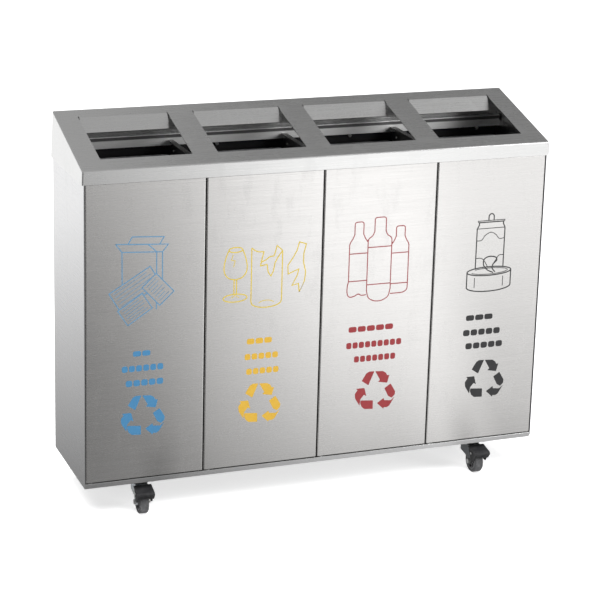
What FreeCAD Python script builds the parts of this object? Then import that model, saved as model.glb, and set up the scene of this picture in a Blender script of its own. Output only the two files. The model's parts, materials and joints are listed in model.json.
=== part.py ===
import FreeCAD, Part
import math
import os

from FreeCAD import Vector as V

# Four-compartment recycling station in stainless steel sheet, on swivel castors.
# Millimetres. +X to the right of a person facing the doors, the doors face -Y, +Z up, floor at Z = 0.
# The cabinet is laid out with its depth centred on Y = 0 and every piece is then moved by SHIFT_Y,
# so that the origin is the centre of the bounding box's base.

os.makedirs("parts", exist_ok=True)

# ---- driving dimensions -------------------------------------------------------------------
SHIFT_Y = 7.63             # centres the bounding box, castors included
CAB_W = 1000.0             # cabinet width
CAB_D = 242.0              # cabinet depth
T = 1.5                    # carcass sheet
T_DOOR = 1.2               # door skin sheet
Z_RAIL = 72.0              # underside of the base tray's rail
RAIL_H = 10.0              # height of the base tray's rail
Z_SIDE_TOP = 728.0         # top of side panels and dividers, under the hood
Z_SKIRT = 703.5            # lower edge of the hood's skirt
Z_HOOD_F = 732.0           # hood's top edge at the front
Z_HOOD_R = 800.0           # hood's top edge at the rear
HOOD_Y = (-123.0, -123.0, 120.0, 124.5)   # front low, front top, rear top, rear low
HOOD_OVER = 4.0            # hood's overhang at each side, at the skirt's lower edge
HOOD_LEAN = 2.0            # lean of the hood's side walls, degrees
HOOD_R = 3.0               # outer bend radius of the hood
MOUTH_W = 188.3
MOUTH_X0 = -456.0          # left edge of the first mouth
MOUTH_PITCH = 241.25
MOUTH_Y = (-82.7, 84.7)    # front and rear edge, in plan
LIP_DY, LIP_DZ = 23.4, 27.0  # the deflector lip runs forward and down from the mouth's rear edge
BAY = 250.0
SEAMS = (-250.0, 0.0, 250.0)
SEAM_GAP = 2.2
SIDE_GAP = 1.25
DOOR_T = 17.0
DOOR_Z = (84.0, 703.1)
PIVOT_IN = 10.0            # hinge axis from the door's hinge edge
PIVOT_BACK = 5.5           # hinge axis behind the door's face
PIN_R = 2.5
RUN = 0.05                 # radial running clearance
LINER_W, LINER_Y, LINER_Z = 216.0, (-96.0, 98.0), (82.0, 700.0)
LINER_T = 1.0
LINER_X = (-372.75, -125.0, 125.0, 372.75)
CASTOR_X, CASTOR_YF, CASTOR_YR = 375.0, -82.0, 80.0
CASTORS = (                # x, y, turn of the trailing wheel from -Y towards +X (degrees), braked
    (-CASTOR_X, CASTOR_YF, -2.0, True),
    (CASTOR_X, CASTOR_YF, 2.0, True),
    (-CASTOR_X, CASTOR_YR, -12.0, False),
    (CASTOR_X, CASTOR_YR, 14.0, False),
)
TRAIL = 24.0
WHEEL_R, WHEEL_W, HUB_R = 25.0, 19.0, 18.5

FRONT, REAR, HALF = -CAB_D / 2, CAB_D / 2, CAB_W / 2
Z_FLOOR = Z_RAIL + RAIL_H  # top of the floor sheet


# ---- helpers ------------------------------------------------------------------------------
def box(x0, x1, y0, y1, z0, z1):
    return Part.makeBox(x1 - x0, y1 - y0, z1 - z0, V(x0, y0, z0))


def cyl(r, p, d, h):
    return Part.makeCylinder(r, h, V(*p), V(*d))


def prism(points, vec):
    w = Part.makePolygon([V(*p) for p in points] + [V(*points[0])])
    return Part.Face(w).extrude(V(*vec))


def prism_x(yz, x0, x1):
    return prism([(x0, y, z) for y, z in yz], (x1 - x0, 0, 0))


def prism_y(xz, y0, y1):
    return prism([(x, y0, z) for x, z in xz], (0, y1 - y0, 0))


def fuse(*shapes):
    s = shapes[0].multiFuse(list(shapes[1:])) if len(shapes) > 1 else shapes[0]
    return s.removeSplitter()


def edges(shape, test):
    return [e for e in shape.Edges if test(e)]


def along(e, axis):
    a, b = e.Vertexes[0].Point, e.Vertexes[-1].Point
    d = b - a
    if d.Length < 1e-6:
        return False
    return abs(abs(getattr(d.normalize(), axis)) - 1) < 1e-6


def hexagon(r, z0, h):
    pts = [(r * math.cos(math.radians(60 * i)), r * math.sin(math.radians(60 * i)), z0) for i in range(6)]
    return prism(pts, (0, 0, h))


def save(name, *shapes):
    solids = []
    for s in shapes:
        solids += s.Solids
    out = solids[0].copy() if len(solids) == 1 else Part.makeCompound([s.copy() for s in solids])
    out.translate(V(0, SHIFT_Y, 0))
    for s in out.Solids:
        if not s.isValid():
            raise RuntimeError(name + ": invalid solid")
    out.exportStep("parts/" + name + ".step")
    b = out.BoundBox
    print("%-20s %2d solid(s)  x %8.2f %8.2f  y %8.2f %8.2f  z %7.2f %7.2f  %9.1f cm3" % (
        name, len(out.Solids), b.XMin, b.XMax, b.YMin, b.YMax, b.ZMin, b.ZMax, out.Volume / 1000))
    return out


# ---- hood ---------------------------------------------------------------------------------
def slope_z(y):
    """Height of the hood's top surface at depth y."""
    y0, y1 = HOOD_Y[1], HOOD_Y[2]
    return Z_HOOD_F + (y - y0) / (y1 - y0) * (Z_HOOD_R - Z_HOOD_F)


SLOPE = math.atan2(Z_HOOD_R - Z_HOOD_F, HOOD_Y[2] - HOOD_Y[1])


def hood_block(inset, low, radius):
    """The hood's envelope, moved inwards by inset and reaching down to low."""
    yfl, yft, yrt, yrl = HOOD_Y
    drop = inset / math.cos(SLOPE)

    def y_front(z):
        return yfl + (z - Z_SKIRT) / (Z_HOOD_F - Z_SKIRT) * (yft - yfl) + inset

    def y_rear(z):
        return yrl + (z - Z_SKIRT) / (Z_HOOD_R - Z_SKIRT) * (yrt - yrl) - inset

    def z_top(y):
        return slope_z(y) - drop

    zf, zr = Z_HOOD_F, Z_HOOD_R
    for _ in range(30):
        zf, zr = z_top(y_front(zf)), z_top(y_rear(zr))
    half = HALF + HOOD_OVER - inset
    s = prism_x([(y_front(low), low), (y_front(zf), zf), (y_rear(zr), zr), (y_rear(low), low)], -half - 5, half + 5)
    k = math.tan(math.radians(HOOD_LEAN))
    for sgn in (-1, 1):
        s = s.cut(prism_y([(sgn * (half - (low - Z_SKIRT) * k), low), (sgn * (half + 30), low), (sgn * (half + 30), 820.0),
                           (sgn * (half - (820.0 - Z_SKIRT) * k), 820.0)], -200, 200))
    rim = edges(s, lambda e: max(v.Z for v in e.Vertexes) > low + 1)
    return s.makeFillet(radius, rim)


hood = hood_block(0.0, Z_SKIRT, HOOD_R)
hood = hood.cut(hood_block(T, Z_SKIRT - 6.0, HOOD_R - T))

cs, sn = math.cos(SLOPE), math.sin(SLOPE)
mouths = []
for i in range(4):
    x0 = MOUTH_X0 + MOUTH_PITCH * i
    x1 = x0 + MOUTH_W
    y0, y1 = MOUTH_Y
    z0, z1 = slope_z(y0), slope_z(y1)
    n = 6.0
    cut = prism_x([(y0 - n * sn, z0 + n * cs), (y1 - n * sn, z1 + n * cs), (y1 + n * sn, z1 - n * cs), (y0 + n * sn, z0 - n * cs)], x0, x1)
    cut = cut.makeFillet(1.5, edges(cut, lambda e: not along(e, "x") and abs(e.Length - 2 * n) < 0.01 and e.CenterOfMass.y < 0))
    # relief slots at both ends of the bend line
    for xs in (x0, x1 - 2.0):
        e = 4.5
        cut = cut.fuse(prism_x([(y1 - 1 * cs - n * sn, z1 - sn + n * cs), (y1 + e * cs - n * sn, z1 + e * sn + n * cs),
                                (y1 + e * cs + n * sn, z1 + e * sn - n * cs), (y1 - 1 * cs + n * sn, z1 - sn - n * cs)], xs, xs + 2.0))
    hood = hood.cut(cut)
    mouths.append((x0, x1))
for x0, x1 in mouths:
    # deflector lip, folded down out of the same sheet along the mouth's rear edge
    y1 = MOUTH_Y[1]
    z1 = slope_z(y1)
    ln = math.hypot(LIP_DY, LIP_DZ)
    ux, uz = -LIP_DY / ln, -LIP_DZ / ln
    nx, nz = uz * -1.0, ux          # points to the rear and down, out of the sheet's underside
    a = (y1 + 1.0 * cs, z1 + 1.0 * sn)
    pts = [a, (y1, z1), (y1 + ux * ln, z1 + uz * ln), (y1 + ux * ln + nx * T, z1 + uz * ln + nz * T),
           (y1 + 0.45 * T * nx + 0.55 * sn * T, z1 - T / math.cos(SLOPE) * 0.9), (a[0] + sn * T, a[1] - cs * T)]
    hood = hood.fuse(prism_x(pts, x0 + 2.0, x1 - 2.0))
hood = hood.removeSplitter()

# rear fixing points, through the hood's skirt and the back panel
FIX_X = (-450.0, -150.0, 150.0, 450.0)
FIX_Z = 712.0
for x in FIX_X:
    hood = hood.cut(cyl(2.0, (x, 110, FIX_Z), (0, 1, 0), 30))
save("hood_shell", hood)

# ---- carcass ------------------------------------------------------------------------------
left = box(-HALF, -HALF + T, FRONT, REAR, Z_RAIL, Z_SIDE_TOP)
right = box(HALF - T, HALF, FRONT, REAR, Z_RAIL, Z_SIDE_TOP)
right = right.cut(prism_x([(FRONT - 1, Z_RAIL - 1), (FRONT + 5, Z_RAIL - 1), (FRONT - 1, Z_RAIL + 5)], HALF - 5, HALF + 1))
right = right.cut(box(HALF - T - 1, HALF + 1, FRONT - 1, FRONT + T, Z_RAIL - 1, Z_RAIL + 4.0))
save("left_side_panel", left)
save("right_side_panel", right)

INNER = HALF - T
J_Y, J_Z0, J_Z1 = 107.0, 717.0, 742.0
back = fuse(box(-INNER, INNER, REAR - T, REAR, Z_RAIL, J_Z1), box(-INNER, INNER, J_Y, REAR, J_Z1 - T, J_Z1), box(-INNER, INNER, J_Y, J_Y + T, J_Z0, J_Z1))
back = back.makeFillet(2.2, edges(back, lambda e: along(e, "x") and abs(e.CenterOfMass.z - J_Z1) < 1e-6))
for x in FIX_X:
    back = back.cut(cyl(2.0, (x, 100, FIX_Z), (0, 1, 0), 30))
save("back_panel", back)

# base tray: floor sheet with four turned-down sides; the front one is the rail under the doors
floor = box(-INNER, INNER, FRONT, REAR - T, Z_FLOOR - T, Z_FLOOR)
tray = fuse(floor,
            box(-INNER, INNER, FRONT, FRONT + T, Z_RAIL, Z_FLOOR),
            box(-INNER, INNER, REAR - 2 * T, REAR - T, Z_RAIL, Z_FLOOR),
            box(-INNER, -INNER + T, FRONT, REAR - T, Z_RAIL, Z_FLOOR),
            box(INNER - T, INNER, FRONT, REAR - T, Z_RAIL, Z_FLOOR))
tray = tray.makeFillet(1.2, edges(tray, lambda e: along(e, "x") and abs(e.CenterOfMass.y - FRONT) < 1e-6 and e.CenterOfMass.z > Z_FLOOR - 0.1))
tray = tray.cut(prism_y([(INNER - 3.5, Z_RAIL - 0.1), (INNER + 1, Z_RAIL - 0.1), (INNER + 1, Z_RAIL + 4.5)], FRONT - 1, FRONT + T))

# header behind the hood's front band, carrying the upper hinge pins
H_Z0, H_Z1, H_Y0, H_Y1 = 704.0, 728.5, -121.5, -97.5
header = fuse(box(-INNER, INNER, H_Y0, H_Y0 + T, H_Z0, H_Z1 - 1.5), box(-INNER, INNER, H_Y0, H_Y1, H_Z0, H_Z0 + T), box(-INNER, INNER, H_Y0, H_Y1, H_Z1 - T, H_Z1))

# door jambs: angles inside the two side panels
J_FRONT = -99.0
JAMB = 12.0
ljamb = fuse(box(-INNER, -INNER + JAMB, J_FRONT, J_FRONT + T, Z_FLOOR, H_Z0), box(-INNER, -INNER + T, J_FRONT, J_FRONT + 20, Z_FLOOR, H_Z0))
rjamb = fuse(box(INNER - JAMB, INNER, J_FRONT, J_FRONT + T, Z_FLOOR, H_Z0), box(INNER - T, INNER, J_FRONT, J_FRONT + 20, Z_FLOOR, H_Z0))

# dividers: web, mullion flange behind the gap between two doors, top flange
MULL = 9.0
webs = []
for x in SEAMS:
    w = fuse(box(x - T / 2, x + T / 2, J_FRONT, REAR - T, Z_FLOOR, Z_SIDE_TOP),
             box(x - MULL, x + MULL, J_FRONT, J_FRONT + T, Z_FLOOR, H_Z0),
             box(x - 10.75, x + T / 2, J_FRONT + T + 1.5, J_Y - 0.5, Z_SIDE_TOP - T, Z_SIDE_TOP))
    w = w.cut(box(x - 20, x + 20, J_Y - 0.5, REAR, J_Z0 - 0.5, Z_SIDE_TOP + 1))
    w = w.cut(box(x - 20, x + 20, J_FRONT - 1, H_Y1, H_Z0, Z_SIDE_TOP + 1))
    webs.append(w)

# angles and rivets that hold each divider to the back panel
angles, rivets = [], []
RIVETS = ((97.0, 706.0), (97.0, 420.0), (97.0, 130.0))
for k, x in enumerate(SEAMS):
    a = fuse(box(x + T / 2, x + 2 * T - T / 2, REAR - T - 32, REAR - T, Z_FLOOR, J_Z0 - 1), box(x + T / 2, x + 16, REAR - 2 * T, REAR - T, Z_FLOOR, J_Z0 - 1))
    for y, z in RIVETS:
        hole = cyl(1.6, (x - 3, y, z), (1, 0, 0), 8)
        a = a.cut(hole)
        webs[k] = webs[k].cut(hole)
        head = Part.makeSphere(3.6, V(x - T / 2 + 2.0, y, z)).common(box(x - 5, x - T / 2, y - 5, y + 5, z - 5, z + 5))
        tail = cyl(2.6, (x + T * 1.5, y, z), (1, 0, 0), 1.2)
        rivets.append(fuse(head, cyl(1.6, (x - T / 2 - 0.2, y, z), (1, 0, 0), 2 * T + 0.4), tail))
    angles.append(a)

# ---- touch latches ------------------------------------------------------------------------
LATCH_Z = 662.0
LATCH_X = [x - 5.0 for x in SEAMS] + [INNER - 6.0]
TIP_Y = FRONT + DOOR_T + 0.3
PLUNGER_R = 2.2
bodies = []
for i, x in enumerate(LATCH_X):
    hole = cyl(PLUNGER_R + 0.5, (x, J_FRONT - 1, LATCH_Z), (0, 1, 0), T + 2)
    if i < 3:
        webs[i] = webs[i].cut(hole)
        x0, x1 = SEAMS[i] - T / 2 - 9.0, SEAMS[i] - T / 2
    else:
        rjamb = rjamb.cut(hole)
        x0, x1 = INNER - T - 9.0, INNER - T
    b = box(x0, x1, J_FRONT + T, J_FRONT + T + 50, LATCH_Z - 7, LATCH_Z + 7)
    b = b.makeFillet(1.0, edges(b, lambda e: along(e, "y")))
    b = b.cut(cyl(PLUNGER_R + RUN, (x, J_FRONT, LATCH_Z), (0, 1, 0), T + 42))
    bodies.append(b)
    p = cyl(PLUNGER_R, (x, TIP_Y, LATCH_Z), (0, 1, 0), J_FRONT + T + 37 - TIP_Y)
    p = p.makeFillet(0.8, [e for e in p.Edges if abs(e.CenterOfMass.y - TIP_Y) < 1e-3 and len(e.Vertexes) == 1 and e.Length > 5][:1])
    save("latch_plunger_%d" % (i + 1), p)

for k, w in enumerate(webs):
    save("divider_%d" % (k + 1), w)
save("divider_angles", *angles)
save("divider_rivets", *rivets)
save("left_door_jamb", ljamb)
save("right_door_jamb", rjamb)
save("touch_latch_bodies", *bodies)

# hood fixings: nylon spacers between back panel and hood, button-head screws through both
spacers, screws = [], []
for x in FIX_X:
    sp = cyl(6.0, (x, REAR, FIX_Z), (0, 1, 0), 4).cut(cyl(2.0, (x, REAR - 1, FIX_Z), (0, 1, 0), 8)).cut(hood)
    spacers.append(min(sp.Solids, key=lambda s: s.CenterOfMass.y))
    head = cyl(4.6, (x, 124.15, FIX_Z), (0, 1, 0), 2.2)
    head = head.makeFillet(1.2, [e for e in head.Edges if abs(e.CenterOfMass.y - 126.35) < 1e-3 and e.Length > 20])
    head = head.cut(prism([(x + 1.9 * math.cos(math.radians(60 * i)), 126.4, FIX_Z + 1.9 * math.sin(math.radians(60 * i))) for i in range(6)], (0, -1.2, 0)))
    head = head.cut(hood)
    nut = prism([(x + 4.0 * math.cos(math.radians(60 * i)), REAR - T, FIX_Z + 4.0 * math.sin(math.radians(60 * i))) for i in range(6)], (0, -3.0, 0))
    shank = cyl(2.0, (x, REAR - T - 4.0, FIX_Z), (0, 1, 0), 124.9 - (REAR - T - 4.0))
    screws.append(fuse(head, shank, nut))
save("hood_spacers", *spacers)
save("hood_screws", *screws)

# ---- doors --------------------------------------------------------------------------------
door_x = []
for i in range(4):
    x0 = -INNER + SIDE_GAP if i == 0 else SEAMS[i - 1] + SEAM_GAP / 2
    x1 = INNER - SIDE_GAP if i == 3 else SEAMS[i] - SEAM_GAP / 2
    door_x.append((x0, x1))
PIVOT_Y = FRONT + PIVOT_BACK
Z0, Z1 = DOOR_Z
BUSH_R = 4.1
pins, washers = [], []
for i, (x0, x1) in enumerate(door_x):
    px = x0 + PIVOT_IN
    pan = box(x0, x1, FRONT, FRONT + DOOR_T, Z0, Z1)
    pan = pan.makeFillet(2.5, edges(pan, lambda e: along(e, "z") and abs(e.CenterOfMass.y - FRONT) < 1e-6))
    pan = pan.makeFillet(1.0, edges(pan, lambda e: along(e, "x") and abs(e.CenterOfMass.y - FRONT) < 1e-6))
    hollow = box(x0 + T_DOOR, x1 - T_DOOR, FRONT + T_DOOR, FRONT + DOOR_T + 1, Z0 + T_DOOR, Z1 - T_DOOR)
    hollow = hollow.makeFillet(1.3, edges(hollow, lambda e: along(e, "z") and abs(e.CenterOfMass.y - FRONT - T_DOOR) < 1e-6))
    pan = pan.cut(hollow)
    for z in (Z0, Z1):
        pan = pan.cut(cyl(BUSH_R, (px, PIVOT_Y, z - 3), (0, 0, 1), 6))
    save("door_skin_%d" % (i + 1), pan)
    inner = box(x0 + T_DOOR, x1 - T_DOOR, FRONT + DOOR_T - 1.2, FRONT + DOOR_T - 0.2, Z0 + T_DOOR, Z1 - T_DOOR)
    save("door_inner_panel_%d" % (i + 1), inner)
    low = fuse(cyl(BUSH_R, (px, PIVOT_Y, Z0 - 0.4), (0, 0, 1), 13.4), cyl(5.2, (px, PIVOT_Y, Z0 - 0.9), (0, 0, 1), 0.9))
    low = low.cut(cyl(PIN_R + RUN, (px, PIVOT_Y, Z0 - 5), (0, 0, 1), 30))
    up = fuse(cyl(BUSH_R, (px, PIVOT_Y, Z1 - 13), (0, 0, 1), 13.4), cyl(5.2, (px, PIVOT_Y, Z1), (0, 0, 1), 0.6))
    up = up.cut(cyl(PIN_R + RUN, (px, PIVOT_Y, Z1 - 25), (0, 0, 1), 40))
    save("door_bushes_%d" % (i + 1), low, up)
    # lower pin stands on the floor sheet, upper pin hangs from the header
    tray = tray.cut(cyl(PIN_R, (px, PIVOT_Y, Z_FLOOR - 5), (0, 0, 1), 10))
    header = header.cut(cyl(PIN_R, (px, PIVOT_Y, H_Z0 - 5), (0, 0, 1), 10))
    pins.append(fuse(cyl(3.8, (px, PIVOT_Y, Z_FLOOR - T - 2.0), (0, 0, 1), 2.0), cyl(PIN_R, (px, PIVOT_Y, Z_FLOOR - T - 0.5), (0, 0, 1), 15.0)))
    pins.append(fuse(cyl(4.2, (px, PIVOT_Y, H_Z0 + T), (0, 0, 1), 3.0), cyl(PIN_R, (px, PIVOT_Y, H_Z0 + T + 0.5 - 15.0), (0, 0, 1), 15.0)))
    washers.append(cyl(5.2, (px, PIVOT_Y, Z_FLOOR), (0, 0, 1), 0.8).cut(cyl(PIN_R, (px, PIVOT_Y, Z_FLOOR - 1), (0, 0, 1), 3)))
save("hinge_pins", *pins)
save("hinge_washers", *washers)
save("front_header", header)

# ---- liners -------------------------------------------------------------------------------
for i, cx in enumerate(LINER_X):
    h = LINER_W / 2
    ly0, ly1 = LINER_Y
    lz0, lz1 = LINER_Z
    outer = box(cx - h, cx + h, ly0, ly1, lz0, lz1)
    outer = outer.makeFillet(9.0, edges(outer, lambda e: along(e, "z")))
    inner = box(cx - h + LINER_T, cx + h - LINER_T, ly0 + LINER_T, ly1 - LINER_T, lz0 + LINER_T, lz1 + 5)
    inner = inner.makeFillet(8.0, edges(inner, lambda e: along(e, "z")))
    rim = box(cx - h - 3, cx + h + 3, ly0 - 3, ly1 + 3, lz1 - 6, lz1)
    rim = rim.makeFillet(12.0, edges(rim, lambda e: along(e, "z")))
    rim = rim.makeFillet(2.2, edges(rim, lambda e: abs(e.CenterOfMass.z - lz1) < 1e-6 or abs(e.CenterOfMass.z - lz1 + 6) < 1e-6))
    # stiffening bead pressed outwards under the rim
    bead = box(cx - h - 0.8, cx + h + 0.8, ly0 - 0.8, ly1 + 0.8, 686.5, 691.5)
    bead = bead.makeFillet(9.8, edges(bead, lambda e: along(e, "z")))
    groove = box(cx - h + 0.4, cx + h - 0.4, ly0 + 0.4, ly1 - 0.4, 687.6, 690.4)
    groove = groove.makeFillet(8.6, edges(groove, lambda e: along(e, "z")))
    body = fuse(outer, rim, bead).cut(inner).cut(groove)
    # hand slot in the front wall
    sl = fuse(box(cx - 35, cx + 35, ly0 - 5, ly0 + 5, 636, 664), cyl(14, (cx - 35, ly0 - 5, 650), (0, 1, 0), 10), cyl(14, (cx + 35, ly0 - 5, 650), (0, 1, 0), 10))
    body = body.cut(sl)
    save("liner_%d" % (i + 1), body)

# ---- castors ------------------------------------------------------------------------------
pads = []
for sx in (-1, 1):
    pads.append(box(sx * CASTOR_X - 40, sx * CASTOR_X + 40, -114, 112, Z_RAIL, Z_FLOOR - T))
plates, bolts = [], []
BOLT = 22.5


def place(shape, x, y, turn):
    s = shape.copy()
    s.rotate(V(0, 0, 0), V(0, 0, 1), turn)
    s.translate(V(x, y, 0))
    return s


def cheek(v0, v1):
    """Fork side between v0 and v1, in the castor's own frame: the wheel trails towards -Y."""
    uz = [(-18, 60), (-18, 38), (8, 33), (17, 21), (31, 21), (34, 34), (43, 43), (44.5, 50), (40, 54), (24, 60)]
    c = prism([(v0, -u, z) for u, z in uz], (v1 - v0, 0, 0))
    c = c.fuse(cyl(7.5, (v0, -TRAIL, WHEEL_R), (1, 0, 0), v1 - v0))
    return c


for n, (cx, cy, turn, braked) in enumerate(CASTORS, 1):
    # fixed top plate with bearing cup and riveted kingpin
    plate = box(cx - 30, cx + 30, cy - 28, cy + 32, 69.5, Z_RAIL)
    plate = plate.makeFillet(6.0, edges(plate, lambda e: along(e, "z")))
    for dx in (-BOLT, BOLT):
        for dy in (-BOLT + 2, BOLT + 2):
            plate = plate.cut(cyl(3.0, (cx + dx, cy + dy, 60), (0, 0, 1), 20))
            pads[0 if cx < 0 else 1] = pads[0 if cx < 0 else 1].cut(cyl(3.0, (cx + dx, cy + dy, 60), (0, 0, 1), 19))
            hx = hexagon(5.7, 65.5, 4.0)
            hx.translate(V(cx + dx, cy + dy, 0))
            bolts.append(fuse(hx, cyl(3.0, (cx + dx, cy + dy, 69.0), (0, 0, 1), 10.0)))
    cup = Part.makeCone(17.0, 19.5, 9.1, V(cx, cy, 60.4), V(0, 0, 1))
    king = fuse(plate, cup, cyl(4.0, (cx, cy, 53.0), (0, 0, 1), 8), Part.makeCone(5.2, 6.6, 3.6, V(cx, cy, 53.0), V(0, 0, 1)))
    plates.append(king)

    # fork: crown and two cheeks pressed from one blank
    crown = fuse(cyl(18.5, (0, 0, 57.5), (0, 0, 1), 2.5), box(-13, 13, -24, 18, 57.5, 60.0))
    fork = fuse(crown, cheek(-13, -11), cheek(11, 13))
    fork = fork.cut(cyl(4.0 + RUN, (0, 0, 50), (0, 0, 1), 15))
    fork = fork.cut(cyl(3.0, (-20, -TRAIL, WHEEL_R), (1, 0, 0), 40))
    if braked:
        fork = fork.cut(cyl(1.6, (-20, -40, 49), (1, 0, 0), 40))
    save("castor_fork_%d" % n, place(fork, cx, cy, turn))

    # axle bolt with head and lock nut, and on a braked castor the pedal's pivot pin
    axle = cyl(3.0, (-13.5, -TRAIL, WHEEL_R), (1, 0, 0), 27.0)
    head = prism([(-17.0, -TRAIL + 5.4 * math.cos(math.radians(60 * i)), WHEEL_R + 5.4 * math.sin(math.radians(60 * i))) for i in range(6)], (4.0, 0, 0))
    nut = prism([(13.0, -TRAIL + 5.4 * math.cos(math.radians(60 * i)), WHEEL_R + 5.4 * math.sin(math.radians(60 * i))) for i in range(6)], (4.5, 0, 0))
    parts = [place(fuse(axle, head, nut), cx, cy, turn)]
    if braked:
        pin = fuse(cyl(1.6, (-17.4, -40, 49), (1, 0, 0), 34.8), cyl(2.6, (-18.4, -40, 49), (1, 0, 0), 1.2), cyl(2.6, (17.2, -40, 49), (1, 0, 0), 1.2))
        parts.append(place(pin, cx, cy, turn))
    save("castor_pins_%d" % n, *parts)

    # wheel: nylon hub and rubber tyre
    w2 = WHEEL_W / 2
    hub = cyl(HUB_R, (-w2 + 0.5, -TRAIL, WHEEL_R), (1, 0, 0), WHEEL_W - 1)
    for sgn in (-1, 1):
        ring = cyl(15.5, (sgn * 3.2, -TRAIL, WHEEL_R), (sgn, 0, 0), 10).cut(cyl(6.5, (sgn * 3.2, -TRAIL, WHEEL_R), (sgn, 0, 0), 10))
        hub = hub.cut(ring)
    hub = fuse(hub, cyl(6.5, (-w2 - 0.9, -TRAIL, WHEEL_R), (1, 0, 0), WHEEL_W + 1.8))
    hub = hub.cut(cyl(3.0 + RUN, (-20, -TRAIL, WHEEL_R), (1, 0, 0), 40))
    save("wheel_hub_%d" % n, place(hub, cx, cy, turn))
    tyre = cyl(WHEEL_R, (-w2, -TRAIL, WHEEL_R), (1, 0, 0), WHEEL_W)
    tyre = tyre.makeFillet(3.0, [e for e in tyre.Edges if e.Length > 100 and len(e.Vertexes) == 1])
    tyre = tyre.cut(cyl(HUB_R, (-20, -TRAIL, WHEEL_R), (1, 0, 0), 40))
    save("wheel_tyre_%d" % n, place(tyre, cx, cy, turn))

    if braked:
        # foot pedal: a moulded channel whose sides hang outside the fork
        side = [(27, 59.5), (56, 53.0), (58, 50.5), (51, 40.5), (45, 31), (37, 31), (33.5, 41), (27, 52)]
        top = [(27, 62.0), (56, 55.5), (59, 53.0), (59, 50.0), (52, 39.5), (49.5, 41.0), (55.2, 50.3), (54.5, 52.4), (27, 59.3)]
        ped = fuse(prism([(-16.6, -u, z) for u, z in side], (2.2, 0, 0)),
                   prism([(14.4, -u, z) for u, z in side], (2.2, 0, 0)),
                   prism([(-18.6, -u, z) for u, z in top], (37.2, 0, 0)))
        ped = ped.cut(cyl(1.6 + RUN, (-30, -40, 49), (1, 0, 0), 60))
        save("brake_pedal_%s" % ("left" if cx < 0 else "right"), place(ped, cx, cy, turn))
save("castor_plates", *plates)
save("castor_screws", *bolts)
save("castor_pads", *pads)
save("base_tray", tray)
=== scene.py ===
import json
import math
import random

import bmesh
import bpy
from mathutils import Matrix, Vector


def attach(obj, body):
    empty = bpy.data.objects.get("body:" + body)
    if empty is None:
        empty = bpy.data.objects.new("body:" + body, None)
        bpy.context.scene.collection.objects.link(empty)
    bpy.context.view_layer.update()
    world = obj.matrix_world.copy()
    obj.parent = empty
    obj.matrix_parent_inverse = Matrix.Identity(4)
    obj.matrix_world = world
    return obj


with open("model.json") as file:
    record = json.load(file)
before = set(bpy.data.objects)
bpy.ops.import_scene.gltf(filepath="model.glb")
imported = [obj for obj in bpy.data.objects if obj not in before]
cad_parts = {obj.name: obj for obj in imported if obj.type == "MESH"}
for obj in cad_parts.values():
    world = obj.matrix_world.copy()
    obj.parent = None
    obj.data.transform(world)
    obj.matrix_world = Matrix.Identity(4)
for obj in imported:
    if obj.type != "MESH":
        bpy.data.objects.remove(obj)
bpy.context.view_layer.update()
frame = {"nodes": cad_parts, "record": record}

NODES = frame["nodes"]
SHIFT_Y = 0.00763
FACE_Y = -0.121 + SHIFT_Y          # the doors' front face
SCENE = bpy.context.scene


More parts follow.
